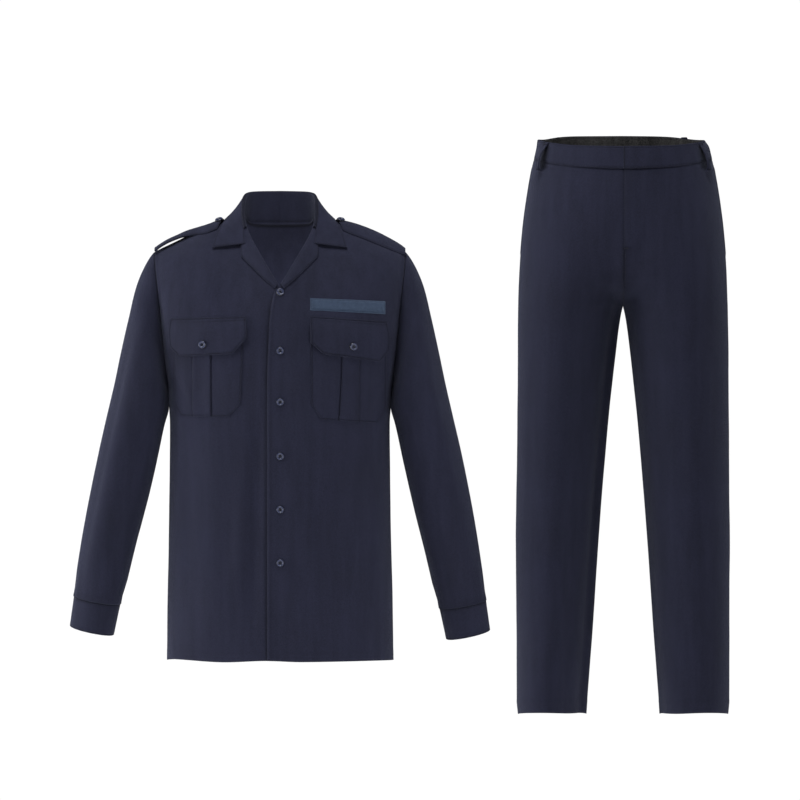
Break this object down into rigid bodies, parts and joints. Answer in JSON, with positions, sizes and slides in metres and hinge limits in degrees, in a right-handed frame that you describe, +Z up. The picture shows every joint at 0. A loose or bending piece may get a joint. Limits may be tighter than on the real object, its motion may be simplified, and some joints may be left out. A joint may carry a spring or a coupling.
{
  "type": "work uniform",
  "caption": "Long-sleeved button-front work shirt with open collar, shoulder straps and flapped breast pockets, beside straight trousers with belt loops, both filled out hollow.",
  "frame": {"origin": "middle of the shirt's neck opening, at the height of the back collar seam", "axes": "+Z up along the wearer, +X towards the wearer's left (the trousers stand on that side), front of both garments towards -Y"},
  "size_m": [1.1536, 0.2544, 1.0114],
  "materials": {
    "navy_cloth": "matt fine twill",
    "lining_cloth": "matt plain weave",
    "tape_cloth": "matt looped pile",
    "button_resin": "satin"
  },
  "bodies": {
    "root": {"shirt_front_left": "navy_cloth", "shirt_front_right": "navy_cloth", "shirt_back": "navy_cloth", "sleeve_left": "navy_cloth", "sleeve_right": "navy_cloth", "cuff_left": "navy_cloth", "cuff_right": "navy_cloth", "pocket_left": "navy_cloth", "pocket_right": "navy_cloth", "pocket_flap_left": "navy_cloth", "pocket_flap_right": "navy_cloth", "name_tape": "tape_cloth", "lapel_left": "navy_cloth", "lapel_right": "navy_cloth", "epaulette_left": "navy_cloth", "epaulette_right": "navy_cloth", "collar": "navy_cloth", "trouser_front_left": "navy_cloth", "trouser_front_right": "navy_cloth", "trouser_back_left": "navy_cloth", "trouser_back_right": "navy_cloth", "waistband": "navy_cloth", "waistband_lining": "lining_cloth", "belt_loop_1": "navy_cloth", "belt_loop_2": "navy_cloth", "belt_loop_3": "navy_cloth", "belt_loop_4": "navy_cloth", "belt_loop_5": "navy_cloth", "front_button_1": "button_resin", "front_button_2": "button_resin", "front_button_3": "button_resin", "front_button_4": "button_resin", "front_button_5": "button_resin", "front_button_6": "button_resin", "cuff_button_left": "button_resin", "cuff_button_right": "button_resin", "flap_button_left": "button_resin", "flap_button_right": "button_resin", "strap_button_left": "button_resin", "strap_button_right": "button_resin"}
  },
  "joints": []
}
